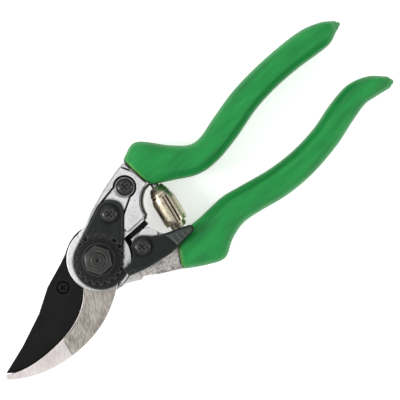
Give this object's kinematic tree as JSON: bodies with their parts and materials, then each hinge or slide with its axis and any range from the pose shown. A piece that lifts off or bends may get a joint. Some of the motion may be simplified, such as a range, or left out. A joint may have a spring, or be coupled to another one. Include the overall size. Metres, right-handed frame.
{
  "type": "pruning shears",
  "caption": "Hand pruning shears: bypass blade and counter blade on a locked pivot bolt, dipped grips, thumb catch and volute spring, lying closed.",
  "frame": {"origin": "on the pivot's axis, on the back face of the pivot bolt's head, level with the grips' backs", "axes": "+X from the pivot to the handles' ends, +Y to the front handle's side, +Z along the pivot from the bolt's head to the nut"},
  "size_m": [0.2092, 0.0631, 0.0238],
  "materials": {
    "grip": "satin green dipped vinyl",
    "front_metal": "satin forged aluminium",
    "rear_metal": "as-forged aluminium, slightly rough",
    "hook_steel": "ground steel",
    "blade_black": "matt black low-friction coating on steel",
    "black_oxide": "black oxide steel",
    "catch_black": "dark green-grey coated steel",
    "buffer_rubber": "black rubber",
    "spring_steel": "nickel plated spring strip",
    "bush_bronze": "sintered bronze",
    "bright_steel": "bright steel"
  },
  "bodies": {
    "blade_handle": {"rear_handle": "rear_metal", "rear_grip": "grip", "cutting_blade": "blade_black", "blade_screw": "black_oxide", "pivot_bush": "bush_bronze", "stop_buffer": "buffer_rubber", "spring_foot_stud": "bright_steel", "volute_spring": "spring_steel", "catch_bush": "bright_steel", "catch_screw": "black_oxide"},
    "hook_handle": {"front_handle": "front_metal", "front_grip": "grip", "counter_blade": "hook_steel", "counter_rivets": "bright_steel", "lock_segment": "catch_black", "segment_screw": "black_oxide", "pocket_washer": "bright_steel", "pocket_screw": "black_oxide", "toothed_disc": "black_oxide", "nut_washer": "black_oxide", "hex_nut": "black_oxide", "pivot_bolt": "black_oxide", "head_washer": "bright_steel", "spring_head_stud": "bright_steel"},
    "catch": {"catch_lever": "catch_black", "catch_peg": "black_oxide"}
  },
  "joints": [
    {"name": "handles_open", "type": "hinge", "parent": "blade_handle", "child": "hook_handle", "pos_m": [0, 0, 0], "axis": [0, 0, 1], "range_deg": [0, 32], "deforming": ["volute_spring"]},
    {"name": "catch_turn", "type": "hinge", "parent": "blade_handle", "child": "catch", "pos_m": [0.0176, -0.0082, 0], "axis": [0, 0, 1], "range_deg": [-6.5, 9]}
  ]
}
